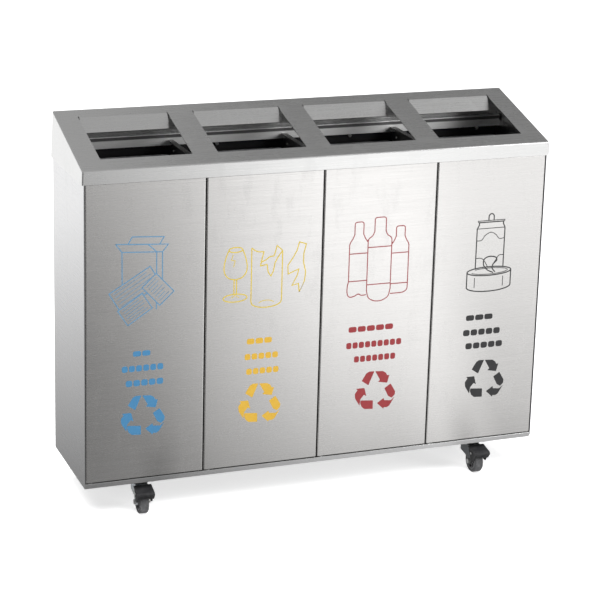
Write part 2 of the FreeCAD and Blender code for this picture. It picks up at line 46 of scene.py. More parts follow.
# ---------------------------------------------------------------------------------------------
# materials
# ---------------------------------------------------------------------------------------------
class Mat:
    def __init__(self, name):
        self.m = bpy.data.materials.new(name)
        self.m.use_nodes = True
        self.nt = self.m.node_tree
        self.nt.nodes.clear()
        self.out = self.add("ShaderNodeOutputMaterial")
        self.b = self.add("ShaderNodeBsdfPrincipled")
        self.link(self.b.outputs["BSDF"], self.out.inputs["Surface"])
        self.tc = self.add("ShaderNodeTexCoord")
        self.pos = self.tc.outputs["Object"]

    def add(self, kind, **props):
        n = self.nt.nodes.new(kind)
        for k, v in props.items():
            setattr(n, k, v)
        return n

    def link(self, a, b):
        self.nt.links.new(a, b)

    def math(self, op, a, b=None, clamp=False):
        n = self.add("ShaderNodeMath", operation=op)
        n.use_clamp = clamp
        for i, v in enumerate((a, b)):
            if v is None:
                continue
            if isinstance(v, (int, float)):
                n.inputs[i].default_value = v
            else:
                self.link(v, n.inputs[i])
        return n.outputs[0]

    def scaled(self, sx, sy, sz):
        n = self.add("ShaderNodeMapping")
        n.inputs["Scale"].default_value = (sx, sy, sz)
        self.link(self.pos, n.inputs["Vector"])
        return n.outputs["Vector"]

    def noise(self, vec, scale, detail=3.0, rough=0.5):
        n = self.add("ShaderNodeTexNoise")
        n.inputs["Scale"].default_value = scale
        n.inputs["Detail"].default_value = detail
        n.inputs["Roughness"].default_value = rough
        self.link(vec, n.inputs["Vector"])
        return n.outputs["Fac"]

    def remap(self, v, a, b, c, d):
        n = self.add("ShaderNodeMapRange")
        n.clamp = True
        n.inputs["From Min"].default_value = a
        n.inputs["From Max"].default_value = b
        n.inputs["To Min"].default_value = c
        n.inputs["To Max"].default_value = d
        self.link(v, n.inputs["Value"])
        return n.outputs["Result"]

    def ramp(self, v, stops):
        n = self.add("ShaderNodeValToRGB")
        cr = n.color_ramp
        while len(cr.elements) < len(stops):
            cr.elements.new(0.5)
        for e, (p, c) in zip(cr.elements, stops):
            e.position = p
            e.color = (c[0], c[1], c[2], 1.0)
        self.link(v, n.inputs["Fac"])
        return n.outputs["Color"]

    def mix(self, fac, a, b):
        n = self.add("ShaderNodeMix", data_type="RGBA")
        for sock, v in ((n.inputs[0], fac), (n.inputs[6], a), (n.inputs[7], b)):
            if isinstance(v, (int, float)):
                sock.default_value = v
            elif isinstance(v, tuple):
                sock.default_value = (v[0], v[1], v[2], 1.0)
            else:
                self.link(v, sock)
        return n.outputs[2]

    def bump(self, height, strength, distance, normal=None):
        n = self.add("ShaderNodeBump")
        n.inputs["Strength"].default_value = strength
        n.inputs["Distance"].default_value = distance
        self.link(height, n.inputs["Height"])
        if normal is not None:
            self.link(normal, n.inputs["Normal"])
        return n.outputs["Normal"]

    def edges(self, radius, samples=4):
        """1 where the surface turns within radius, 0 on flats."""
        bev = self.add("ShaderNodeBevel", samples=samples)
        bev.inputs["Radius"].default_value = radius
        geo = self.add("ShaderNodeNewGeometry")
        dot = self.add("ShaderNodeVectorMath", operation="DOT_PRODUCT")
        self.link(bev.outputs["Normal"], dot.inputs[0])
        self.link(geo.outputs["Normal"], dot.inputs[1])
        return self.remap(dot.outputs["Value"], 0.985, 0.80, 0.0, 1.0)


def brushed(name, base, rough=(0.20, 0.32), grain="X", aniso=0.7, wear=True, tint=0.018, fine=1400.0, streak=160.0, bump=0.03, region=None):
    """Brushed sheet: long fine scratches along the grain, faint wider streaks, soft handling marks, paler worn edges."""
    m = Mat(name)
    long_, cross = 9.0, fine
    s = {"X": (long_, cross, cross), "Y": (cross, long_, cross), "Z": (cross, cross, long_)}[grain]
    fine_n = m.noise(m.scaled(*s), 1.0, 4.0, 0.65)
    s2 = {"X": (1.6, streak, streak), "Y": (streak, 1.6, streak), "Z": (streak, streak, 1.6)}[grain]
    wide_n = m.noise(m.scaled(*s2), 1.0, 3.0, 0.6)
    cloud = m.noise(m.scaled(3.2, 3.2, 2.4), 1.0, 3.0, 0.55)
    smear = m.noise(m.scaled(26.0, 26.0, 9.0), 1.0, 4.0, 0.6)
    lo = tuple(c * (1 - tint) for c in base)
    hi = tuple(min(1.0, c * (1 + tint)) for c in base)
    g = m.math("ADD", m.math("MULTIPLY", fine_n, 0.55), m.math("MULTIPLY", wide_n, 0.45))
    col = m.mix(m.remap(g, 0.36, 0.64, 0.0, 1.0), lo, hi)
    col = m.mix(m.remap(cloud, 0.35, 0.75, 0.0, 0.5), col, tuple(c * 0.955 for c in base))
    if wear:
        e = m.edges(0.0016, 3)
        e = m.math("MULTIPLY", e, m.remap(smear, 0.35, 0.60, 0.25, 1.0))
        col = m.mix(m.math("MULTIPLY", e, 0.55), col, tuple(min(1.0, c * 1.22) for c in base))
    if region:
        col = region(m, col)
    m.link(col, m.b.inputs["Base Color"])
    r = m.remap(fine_n, 0.32, 0.68, rough[0], rough[1])
    r = m.math("ADD", r, m.remap(smear, 0.52, 0.74, 0.0, 0.05))
    m.link(r, m.b.inputs["Roughness"])
    m.b.inputs["Metallic"].default_value = 1.0
    m.b.inputs["Anisotropic"].default_value = aniso
    vt = m.add("ShaderNodeVectorTransform", vector_type="VECTOR", convert_from="OBJECT", convert_to="WORLD")
    vt.inputs[0].default_value = (0.0, 0.25, 1.0) if grain != "Z" else (1.0, 0.6, 0.0)
    m.link(vt.outputs[0], m.b.inputs["Tangent"])
    nrm = m.bump(wide_n, 0.012, 0.0006)
    nrm = m.bump(fine_n, bump, 0.00012, nrm)
    m.link(nrm, m.b.inputs["Normal"])
    return m.m


def galvanised(name, base, rim=None, inside=None, cx=0.0):
    """Zinc-coated sheet: crystal spangle with slight shade and gloss steps, dull grey dust in the lows, a painted
    highlight along the rim.
    """
    m = Mat(name)
    v = m.add("ShaderNodeTexVoronoi", feature="F1")
    v.inputs["Scale"].default_value = 95.0
    v.inputs["Randomness"].default_value = 1.0
    m.link(m.scaled(1.0, 1.0, 0.8), v.inputs["Vector"])
    sep = m.add("ShaderNodeSeparateColor")
    m.link(v.outputs["Color"], sep.inputs[0])
    cell = sep.outputs[0]
    cloud = m.noise(m.scaled(9, 9, 9), 1.0, 4.0, 0.6)
    col = m.mix(m.remap(cell, 0.0, 1.0, 0.0, 1.0), tuple(c * 0.80 for c in base), tuple(min(1, c * 1.12) for c in base))
    col = m.mix(m.remap(cloud, 0.45, 0.75, 0.0, 0.45), col, tuple(c * 0.72 for c in base))
    if inside:
        # the liner's inner walls, those facing its centre, are drawn near black
        geo = m.add("ShaderNodeNewGeometry")
        rel = m.add("ShaderNodeVectorMath", operation="SUBTRACT")
        m.link(m.pos, rel.inputs[0])
        rel.inputs[1].default_value = (cx, SHIFT_Y + 0.001, 0.0)
        flat = m.add("ShaderNodeVectorMath", operation="MULTIPLY")
        m.link(rel.outputs[0], flat.inputs[0])
        flat.inputs[1].default_value = (1.0, 1.0, 0.0)
        dot = m.add("ShaderNodeVectorMath", operation="DOT_PRODUCT")
        m.link(flat.outputs[0], dot.inputs[0])
        m.link(geo.outputs["True Normal"], dot.inputs[1])
        inner_wall_mask = m.math("MULTIPLY", m.remap(dot.outputs["Value"], -0.03, -0.06, 0.0, 1.0), m.remap(cloud, 0.30, 0.70, 1.0, 0.86))
        col = m.mix(inner_wall_mask, col, inside)
    if rim:
        pz = m.add("ShaderNodeSeparateXYZ")
        m.link(m.pos, pz.inputs[0])
        # painted highlight: a pale band along the liner's rim, broken up by noise
        rim_painted_highlight = m.math("MULTIPLY", m.remap(pz.outputs["Z"], 0.6935, 0.6955, 0.0, 1.0), m.remap(cloud, 0.30, 0.60, 1.0, 0.7))
        col = m.mix(rim_painted_highlight, col, rim)
    m.link(col, m.b.inputs["Base Color"])
    m.link(m.math("ADD", m.remap(cell, 0.0, 1.0, 0.34, 0.50), m.remap(cloud, 0.45, 0.75, 0.0, 0.10)), m.b.inputs["Roughness"])
    m.b.inputs["Metallic"].default_value = 0.95
    m.link(m.bump(cell, 0.04, 0.0003, m.bump(m.noise(m.scaled(700, 700, 700), 1.0, 2.0), 0.08, 0.0001)), m.b.inputs["Normal"])
    return m.m


def plated(name, base, rough=(0.22, 0.36), tint=0.10, metal=1.0):
    """Pressed steel with zinc plating: faint blue-yellow cast, tool marks, dull spots, brighter edges."""
    m = Mat(name)
    n1 = m.noise(m.scaled(60, 60, 60), 1.0, 4.0, 0.6)
    n2 = m.noise(m.scaled(900, 900, 900), 1.0, 3.0, 0.6)
    cold = (base[0] * (1 - tint), base[1] * (1 - tint * 0.6), base[2])
    warm = (base[0], base[1] * (1 - tint * 0.2), base[2] * (1 - tint))
    col = m.mix(m.remap(n1, 0.35, 0.65, 0.0, 1.0), cold, warm)
    col = m.mix(m.math("MULTIPLY", m.edges(0.0008, 3), 0.5), col, tuple(min(1.0, c * 1.25) for c in base))
    m.link(col, m.b.inputs["Base Color"])
    m.link(m.remap(n1, 0.3, 0.7, rough[0], rough[1]), m.b.inputs["Roughness"])
    m.b.inputs["Metallic"].default_value = metal
    m.link(m.bump(n2, 0.10, 0.00008, m.bump(n1, 0.08, 0.0004)), m.b.inputs["Normal"])
    return m.m


def plastic(name, base, rough=(0.42, 0.58), grit=2200.0, dust=(0.10, 0.10, 0.10), dust_amount=0.25, bump=0.18, spec=0.5):
    """Moulded plastic: spark-eroded grain, rubbed edges that shine a little, dust in the texture."""
    m = Mat(name)
    n1 = m.noise(m.scaled(1, 1, 1), grit, 3.0, 0.6)
    n2 = m.noise(m.scaled(1, 1, 1), 70.0, 4.0, 0.6)
    col = m.mix(m.remap(n2, 0.42, 0.72, 0.0, dust_amount), base, dust)
    e = m.edges(0.0009, 3)
    col = m.mix(m.math("MULTIPLY", e, 0.35), col, tuple(min(1.0, c * 1.8 + 0.02) for c in base))
    m.link(col, m.b.inputs["Base Color"])
    m.link(m.math("SUBTRACT", m.remap(n2, 0.3, 0.7, rough[0], rough[1]), m.math("MULTIPLY", e, 0.12)), m.b.inputs["Roughness"])
    m.b.inputs["Specular IOR Level"].default_value = spec
    m.link(m.bump(n1, bump, 0.0001), m.b.inputs["Normal"])
    return m.m


def rubber(name, base):
    """Soft tyre compound: matt, scuffed paler on the tread, fine grit."""
    m = Mat(name)
    n1 = m.noise(m.scaled(1, 1, 1), 1500.0, 4.0, 0.65)
    n2 = m.noise(m.scaled(1, 1, 1), 120.0, 4.0, 0.65)
    sep = m.add("ShaderNodeSeparateXYZ")
    m.link(m.pos, sep.inputs[0])
    low = m.remap(sep.outputs["Z"], 0.0, 0.006, 1.0, 0.0)
    scuff = m.math("MAXIMUM", m.remap(n2, 0.48, 0.70, 0.0, 0.8), m.math("MULTIPLY", low, 0.6))
    col = m.mix(scuff, base, tuple(c * 1.7 + 0.015 for c in base))
    m.link(col, m.b.inputs["Base Color"])
    m.link(m.remap(n2, 0.3, 0.7, 0.62, 0.82), m.b.inputs["Roughness"])
    m.b.inputs["Specular IOR Level"].default_value = 0.35
    m.link(m.bump(n1, 0.25, 0.00015), m.b.inputs["Normal"])
    return m.m


def film(name, base, pale):
    """Cut adhesive film: even satin colour with a faint mottled print."""
    m = Mat(name)
    n1 = m.noise(m.scaled(1, 1, 1), 900.0, 3.0, 0.6)
    n2 = m.noise(m.scaled(1, 1, 1), 45.0, 3.0, 0.5)
    col = m.mix(m.remap(n2, 0.35, 0.70, 0.0, 0.35), base, pale)
    m.link(col, m.b.inputs["Base Color"])
    m.link(m.remap(n1, 0.3, 0.7, 0.34, 0.46), m.b.inputs["Roughness"])
    m.b.inputs["Specular IOR Level"].default_value = 0.4
    m.link(m.bump(n1, 0.05, 0.00005), m.b.inputs["Normal"])
    return m.m


def hood_end_painted_shade(m, col):
    """The hood's right end, duller to match the shade it has in the photo."""
    p = m.add("ShaderNodeSeparateXYZ")
    m.link(m.pos, p.inputs[0])
    # painted shade: the hood's right end is given a darker colour
    return m.mix(m.remap(p.outputs["X"], 0.5030, 0.5037, 0.0, 1.0), col, (0.42, 0.42, 0.42))


STAINLESS_HOOD = brushed("stainless_hood", (0.70, 0.70, 0.695), rough=(0.24, 0.34), grain="X", aniso=0.55, region=hood_end_painted_shade)
STAINLESS_BODY = brushed("stainless_body", (0.66, 0.66, 0.665), rough=(0.22, 0.32), grain="Y", aniso=0.55)
STAINLESS_CROSS = brushed("stainless_cross", (0.62, 0.62, 0.62), rough=(0.24, 0.34), grain="X", aniso=0.5)


def fold_painted_light(m, col):
    """The turned-down fold at the back panel's top, with painted light: a painted highlight along the bend, a painted
    dark reflection band below it, and a pale painted reflection towards its edge.
    """
    p = m.add("ShaderNodeSeparateXYZ")
    m.link(m.pos, p.inputs[0])
    here = m.remap(p.outputs["Y"], 0.1164, 0.1172, 1.0, 0.0)
    fold_painted_dark_band = m.math("MULTIPLY", m.remap(p.outputs["Z"], 0.7318, 0.7336, 0.0, 1.0), m.remap(p.outputs["Z"], 0.7388, 0.7396, 1.0, 0.0))
    bright = m.remap(p.outputs["Z"], 0.7394, 0.7404, 0.0, 1.0)
    # painted reflection: the lower part of the fold's face is near white, the band above it dark
    col = m.mix(m.math("MULTIPLY", m.remap(p.outputs["Z"], 0.7318, 0.7336, 1.0, 0.0), here), col, (0.97, 0.97, 0.96))
    col = m.mix(m.math("MULTIPLY", fold_painted_dark_band, here), col, (0.17, 0.17, 0.17))
    # painted shade: the panel's own inner face under the fold is drawn near black
    inner = m.math("MULTIPLY", m.remap(p.outputs["Y"], 0.1180, 0.1190, 0.0, 1.0), m.remap(p.outputs["Y"], 0.1278, 0.1282, 1.0, 0.0))
    inner = m.math("MULTIPLY", inner, m.math("MULTIPLY", m.remap(p.outputs["Z"], 0.733, 0.736, 1.0, 0.0), m.remap(p.outputs["Z"], 0.600, 0.640, 0.0, 1.0)))
    col = m.mix(inner, col, (0.045, 0.045, 0.047))
    # painted highlight along the bend
    return m.mix(m.math("MULTIPLY", bright, here), col, (0.95, 0.95, 0.94))


def mullion_face(m, col):
    """The divider's front flange, behind the gap between two doors, keeps a plain steel colour; the rest of the divider
    carries painted shade.
    """
    p = m.add("ShaderNodeSeparateXYZ")
    m.link(m.pos, p.inputs[0])
    return m.mix(m.remap(p.outputs["Y"], -0.0900, -0.0885, 1.0, 0.0), col, (0.80, 0.80, 0.80))


def right_panel_painted_shade(m, col):
    """The right panel's broad face, duller to match the shade it has in the photo."""
    p = m.add("ShaderNodeSeparateXYZ")
    m.link(m.pos, p.inputs[0])
    # painted shade: the right panel's broad face is given a darker colour, its front strip keeps the plain colour
    return m.mix(m.remap(p.outputs["Y"], -0.1080, -0.1000, 0.0, 1.0), col, (0.45, 0.45, 0.455))


STAINLESS_RIGHT = brushed("stainless_right", (0.66, 0.66, 0.665), rough=(0.24, 0.34), grain="Y", aniso=0.55, region=right_panel_painted_shade)
STAINLESS_BACK = brushed("stainless_back", (0.76, 0.76, 0.76), rough=(0.42, 0.52), grain="X", aniso=0.4, region=fold_painted_light)
# painted shade: a darkened copy of the stainless for the dividers inside the cabinet
STAINLESS_INNER_SHADED = brushed("stainless_inner_painted_shade", (0.30, 0.30, 0.30), rough=(0.38, 0.48), grain="Y", aniso=0.3, region=mullion_face)
STAINLESS_DOOR = brushed("stainless_door", (0.67, 0.66, 0.65), rough=(0.20, 0.30), grain="X", aniso=0.7)
GALV = galvanised("galvanised", (0.44, 0.455, 0.465))
GALV_LINER = [galvanised("galvanised_liner_%d" % (k + 1), (0.44, 0.455, 0.465), (0.86, 0.87, 0.88), (0.020, 0.021, 0.022), cx)
              for k, cx in enumerate((-0.37275, -0.125, 0.125, 0.37275))]
ZINC = plated("zinc_plate", (0.50, 0.52, 0.54), rough=(0.38, 0.50), metal=0.55)
ZINC_DARK = plated("zinc_plate_shaded", (0.20, 0.205, 0.21), rough=(0.34, 0.50))
FIXINGS = plated("steel_fixings", (0.72, 0.72, 0.71), rough=(0.30, 0.42), tint=0.03)
ALU = brushed("aluminium_bar", (0.70, 0.71, 0.72), rough=(0.32, 0.42), grain="X", aniso=0.3)
BLACK = plastic("black_plastic", (0.012, 0.012, 0.013), dust=(0.05, 0.05, 0.05), spec=0.32)
HUB_GREY = plastic("hub_plastic", (0.085, 0.085, 0.088), dust=(0.16, 0.16, 0.16), spec=0.4)
NYLON = plastic("nylon", (0.74, 0.72, 0.67), rough=(0.38, 0.5), dust=(0.52, 0.50, 0.46), dust_amount=0.3, bump=0.08)
RUBBER = rubber("grey_rubber", (0.046, 0.046, 0.048))
FILMS = {
    "blue": film("label_blue", (0.0191, 0.1041, 0.2087), (0.0267, 0.1199, 0.2213)),
    "yellow": film("label_yellow", (0.3387, 0.1993, 0.0088), (0.3511, 0.2241, 0.0212)),
    "red": film("label_red", (0.1556, 0.0085, 0.0114), (0.1784, 0.0165, 0.0182)),
    "black": film("label_black", (0.0100, 0.0100, 0.0107), (0.0174, 0.0174, 0.0181)),
}
LINES = {
    "blue": film("label_blue_line", (0.0519, 0.1275, 0.2101), (0.0692, 0.1396, 0.2163)),
    "yellow": film("label_yellow_line", (0.3307, 0.2375, 0.0133), (0.3480, 0.2627, 0.0273)),
    "red": film("label_red_line", (0.1723, 0.0303, 0.0324), (0.1930, 0.0423, 0.0423)),
    "black": film("label_black_line", (0.0158, 0.0158, 0.0162), (0.0221, 0.0221, 0.0229)),
}

SLOT_MATERIAL = {
    "stainless_hood": STAINLESS_HOOD, "stainless_body": STAINLESS_BODY, "stainless_door": STAINLESS_DOOR,
    "galvanised": GALV, "zinc_plate": ZINC, "steel_fixings": FIXINGS, "aluminium_bar": ALU,
    "black_plastic": BLACK, "nylon": NYLON, "grey_rubber": RUBBER,
}
CROSS_GRAIN = {"back_panel", "base_tray", "front_header", "left_door_jamb", "right_door_jamb"}
for part in frame["record"]["subparts"]:
    o = NODES[part["node"]]
    mat = SLOT_MATERIAL[part["material_slot"]]
    if part["node"] in CROSS_GRAIN:
        mat = STAINLESS_CROSS
    if part["node"] == "right_side_panel":
        mat = STAINLESS_RIGHT
    if part["node"] == "back_panel":
        mat = STAINLESS_BACK
    if part["node"].startswith("divider_") and part["material_slot"] == "stainless_body":
        mat = STAINLESS_INNER_SHADED
    if part["node"].startswith("wheel_hub"):
        mat = HUB_GREY
    if part["node"].startswith("liner_"):
        mat = GALV_LINER[int(part["node"][-1]) - 1]
    if part["node"] in ("castor_plates", "castor_fork_2"):
        mat = ZINC_DARK
    if o.data.materials:
        for k in range(len(o.data.materials)):
            o.data.materials[k] = mat
    else:
        o.data.materials.append(mat)


# ---------------------------------------------------------------------------------------------
# mesh helpers
# ---------------------------------------------------------------------------------------------
def new_object(name, bm, mat, body, smooth=False):
    bmesh.ops.recalc_face_normals(bm, faces=bm.faces)
    me = bpy.data.meshes.new(name)
    bm.to_mesh(me)
    bm.free()
    me.materials.append(mat)
    if smooth:
        for p in me.polygons:
            p.use_smooth = True
    o = bpy.data.objects.new(name, me)
    SCENE.collection.objects.link(o)
    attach(o, body)
    return o


def plate(bm, pts, y0, y1, chamfer=0.0):
    """A thin flat piece with outline pts (x, z) in metres, from y0 (front) to y1, with a small chamfer round its front."""
    n = len(pts)
    area = sum(pts[i][0] * pts[(i + 1) % n][1] - pts[(i + 1) % n][0] * pts[i][1] for i in range(n))
    if area < 0:
        pts = pts[::-1]
    ins = inset(pts, chamfer) if chamfer else pts
    front = [bm.verts.new((x, y0, z)) for x, z in ins]
    mid = [bm.verts.new((x, y0 + chamfer, z)) for x, z in pts] if chamfer else front
    back = [bm.verts.new((x, y1, z)) for x, z in pts]
    faces = [front[::-1], back]
    for i in range(n):
        j = (i + 1) % n
        if chamfer:
            faces.append([front[i], front[j], mid[j], mid[i]])
        faces.append([mid[i], mid[j], back[j], back[i]])
    made = [bm.faces.new(f) for f in faces]
    for f in made:
        f.normal_update()
    bmesh.ops.triangulate(bm, faces=[f for f in made if len(f.verts) > 4])


def inset(pts, d):
    n = len(pts)
    out = []
    for i in range(n):
        a, b, c = Vector(pts[i - 1]), Vector(pts[i]), Vector(pts[(i + 1) % n])
        u, v = (b - a), (c - b)
        if u.length < 1e-9 or v.length < 1e-9:
            out.append(tuple(b))
            continue
        u.normalize(), v.normalize()
        nu, nv = Vector((-u.y, u.x)), Vector((-v.y, v.x))
        w = nu + nv
        k = w.length_squared
        w = w * (2 * d / k) if k > 0.3 else nu * d
        out.append(tuple(b + w))
    return out


def ribbon(pts, width, closed=False):
    """Outline pieces of a drawn line: one quad per segment, mitred at the corners."""
    P = [Vector(p) for p in pts]
    n = len(P)
    if closed and (P[0] - P[-1]).length < 1e-9:
        P = P[:-1]
        n -= 1
    segs = n if closed else n - 1
    dirs = []
    for i in range(segs):
        d = P[(i + 1) % n] - P[i]
        dirs.append(d.normalized() if d.length > 1e-9 else Vector((1, 0)))
    off = []
    for i in range(n):
        if closed:
            a, b = dirs[i - 1], dirs[i]
        else:
            a, b = dirs[max(i - 1, 0)], dirs[min(i, segs - 1)]
        na, nb = Vector((-a.y, a.x)), Vector((-b.y, b.x))
        w = na + nb
        k = w.length_squared
        w = w * (2.0 / k) if k > 0.5 else nb
        if w.length > 1.8:
            w = w.normalized() * 1.8
        off.append(w * (width / 2))
    quads = []
    for i in range(segs):
        j = (i + 1) % n
        quads.append([P[i] - off[i], P[j] - off[j], P[j] + off[j], P[i] + off[i]])
    return quads, P, off, closed


def stroke(bm, pts, width, y0, y1, closed=False):
    """One drawn line as a single closed band."""
    if len(pts) < 2:
        return
    quads, P, off, closed = ribbon(pts, width, closed)
    n = len(P)
    L = [P[i] - off[i] for i in range(n)]
    R = [P[i] + off[i] for i in range(n)]
    rows = []
    for y in (y0, y1):
        rows.append(([bm.verts.new((v.x, y, v.y)) for v in L], [bm.verts.new((v.x, y, v.y)) for v in R]))
    (lf, rf), (lb, rb) = rows
    segs = n if closed else n - 1
    for i in range(segs):
        j = (i + 1) % n
        bm.faces.new([lf[i], lf[j], rf[j], rf[i]])
        bm.faces.new([lb[i], rb[i], rb[j], lb[j]])
        bm.faces.new([lf[i], lb[i], lb[j], lf[j]])
        bm.faces.new([rf[i], rf[j], rb[j], rb[i]])
    if not closed:
        bm.faces.new([lf[0], rf[0], rb[0], lb[0]])
        bm.faces.new([lf[-1], lb[-1], rb[-1], rf[-1]])


def arc(cx, cz, rx, rz, a0, a1, n):
    return [(cx + rx * math.cos(math.radians(a0 + (a1 - a0) * i / n)), cz + rz * math.sin(math.radians(a0 + (a1 - a0) * i / n))) for i in range(n + 1)]


def smooth_path(pts, n=5, closed=False):
    """Catmull-Rom curve through pts."""
    P = [Vector(p) for p in pts]
    m = len(P)
    out = []
    for i in range(m if closed else m - 1):
        p1, p2 = P[i], P[(i + 1) % m]
        p0 = P[i - 1] if (closed or i > 0) else p1 * 2 - p2
        p3 = P[(i + 2) % m] if (closed or i + 2 < m) else p2 * 2 - p1
        for k in range(n):
            t = k / n
            q = 0.5 * ((2 * p1) + (p2 - p0) * t + (2 * p0 - 5 * p1 + 4 * p2 - p3) * t * t + (3 * p1 - p0 - 3 * p2 + p3) * t ** 3)
            out.append((q.x, q.y))
    if not closed:
        out.append(tuple(P[-1]))
    return out


def hide_inside(pts, poly, closed=False):
    """The runs of a drawn line that lie outside a convex outline."""
    P = [Vector(p) for p in pts]
    if closed:
        P.append(P[0])
    n = len(poly)
    Q = [Vector(p) for p in poly]
    area = sum(Q[i].x * Q[(i + 1) % n].y - Q[(i + 1) % n].x * Q[i].y for i in range(n))
    if area < 0:
        Q = Q[::-1]
    runs, cur = [], []
    for a, b in zip(P[:-1], P[1:]):
        t0, t1 = 0.0, 1.0
        d = b - a
        inside = True
        for i in range(n):
            e = Q[(i + 1) % n] - Q[i]
            nrm = Vector((-e.y, e.x))
            fa, fd = nrm.dot(a - Q[i]), nrm.dot(d)
            if abs(fd) < 1e-12:
                if fa < 0:
                    inside = False
                    break
            elif fd > 0:
                t0 = max(t0, -fa / fd)
            else:
                t1 = min(t1, -fa / fd)
        if not inside or t0 >= t1:
            if not cur:
                cur = [a]
            cur.append(b)
            continue
        if t0 > 1e-6:
            if not cur:
                cur = [a]
            cur.append(a + d * t0)
        if len(cur) > 1:
            runs.append(cur)
        cur = [a + d * t1, b] if t1 < 1 - 1e-6 else []
    if len(cur) > 1:
        runs.append(cur)
    return [[tuple(p) for p in r] for r in runs]


def rect_at(cx, cz, w, h, deg):
    c, s = math.cos(math.radians(deg)), math.sin(math.radians(deg))
    return [(cx + x * c - z * s, cz + x * s + z * c) for x, z in ((-w / 2, -h / 2), (w / 2, -h / 2), (w / 2, h / 2), (-w / 2, h / 2))]


def round_rect(cx, cz, w, h, r, n=4):
    pts = []
    for sx, sz, a in ((1, 1, 0), (-1, 1, 90), (-1, -1, 180), (1, -1, 270)):
        pts += arc(cx + sx * (w / 2 - r), cz + sz * (h / 2 - r), r, r, a, a + 90, n)
    return pts


# ---------------------------------------------------------------------------------------------
# the sorting labels: generic line drawings, plain bars and three chasing arrows
# ---------------------------------------------------------------------------------------------
MM = 0.001
FILM_FRONT = FACE_Y - 0.00016
FILM_BACK = FACE_Y - 0.00001
LINE_W = 1.95


def drawing(name, strokes, colour, body, heavier=1.1):
    bm = bmesh.new()
    for k, s in enumerate(strokes):
        pts, closed = s[0], s[1]
        w = (s[2] if len(s) > 2 else LINE_W) * heavier
        lift = 0.000005 * (k % 12)      # lines that cross lie one over the other
        stroke(bm, [(x * MM, z * MM) for x, z in pts], w * MM, FILM_FRONT - lift, FILM_BACK, closed)
    return new_object(name, bm, LINES[colour], body)


def carton_and_sheets():
    out = []
    sheet1 = rect_at(-396, 486, 98, 44, 31)
    sheet2 = rect_at(-349, 481, 54, 40, -47)
    sheet3 = rect_at(-396, 443, 60, 38, 33)
    top = [sheet3, sheet2, sheet1]

    def put(pts, closed, hidden_by, w=LINE_W):
        runs = [(pts + [pts[0]]) if closed else list(pts)]
        for poly in hidden_by:
            nxt = []
            for r in runs:
                nxt += hide_inside(r, poly)
            runs = nxt
        for r in runs:
            out.append((r, False, w))

    # carton: open flaps, rim and body
    put([(-411, 578), (-402, 593), (-337, 589), (-346, 574)], True, top)
    put([(-436, 580), (-328, 573), (-340, 558), (-423, 563)], True, top)
    put([(-411, 578), (-370, 575.5), (-352, 559)], False, top)
    put([(-423, 563), (-422, 430)], False, top)
    put([(-352, 559), (-352, 440)], False, top)
    put([(-340, 558), (-340, 450)], False, top)
    # three printed sheets
    put(sheet1, True, [sheet3, sheet2])
    put(sheet2, True, [])
    put(sheet3, True, [sheet2])

    def rows(cx, cz, w, h, deg, n, margin, hidden, w_line=1.0):
        c, s = math.cos(math.radians(deg)), math.sin(math.radians(deg))
        for k in range(n):
            v = -h / 2 + margin + (h - 2 * margin) * k / max(1, n - 1)
            a, b = -w / 2 + margin, w / 2 - margin - (6 if k % 3 == 1 else 0)
            put([(cx + a * c - v * s, cz + a * s + v * c), (cx + b * c - v * s, cz + b * s + v * c)], False, hidden, w_line)

    rows(-396, 486, 98, 44, 31, 5, 6.5, [sheet3, sheet2])
    rows(-396, 443, 60, 38, 33, 5, 6.5, [sheet2])
    cx, cz = -349, 481
    rows(cx, cz, 40, 54, 43, 7, 7, [])
    return out


def glass_jar_shard():
    out = []
    # stemmed glass with a crack
    out.append((arc(-186.9, 549.5, 14.5, 5.2, 0, 360, 26)[:-1], True))
    bowl = smooth_path([(-201.4, 549.5), (-207.5, 534), (-211.5, 514), (-209, 500), (-200, 490.5), (-187, 487)], 5)
    out.append((bowl, False))
    out.append(([(-373.8 - x, z) for x, z in bowl], False))
    out.append(([(-189.6, 487), (-189.6, 456)], False))
    out.append(([(-184.2, 487), (-184.2, 456)], False))
    out.append((arc(-187, 448.5, 25.5, 8.2, 0, 360, 30)[:-1], True))
    out.append((smooth_path([(-196, 449), (-190, 452), (-187, 457), (-184, 452), (-178, 449)], 3), False, 1.2))
    out.append(([(-192, 540), (-196, 529), (-188, 527), (-191, 514)], False, 1.3))
    # broken jar
    out.append(([(-153, 551), (-146, 545), (-139, 542), (-127, 541), (-131, 526), (-134, 512), (-120, 514), (-117, 497), (-111, 489), (-106, 499),
                 (-103, 516), (-97, 527), (-87, 541)], False))
    out.append(([(-122, 524), (-114, 530), (-105, 531), (-102, 541), (-99, 552), (-87, 541)], False))
    out.append(([(-122, 524), (-131, 520)], False))
    out.append((([(-153, 551), (-153, 438)] + smooth_path([(-153, 438), (-150, 431), (-138, 425.5), (-120, 423.5), (-102, 425.5), (-90, 431), (-87, 438)], 4)
                 + [(-87, 541)]), False))
    out.append((arc(-120, 431, 17, 7.5, 20, 160, 12), False, 1.3))
    # shard
    out.append(([(-51, 556), (-36, 551), (-41, 531), (-41, 512), (-36, 492), (-38, 473), (-49, 450), (-51, 468), (-65, 465), (-54, 486), (-51, 499), (-74, 490),
                 (-75, 508), (-64, 524), (-56, 538)], True))
    return out


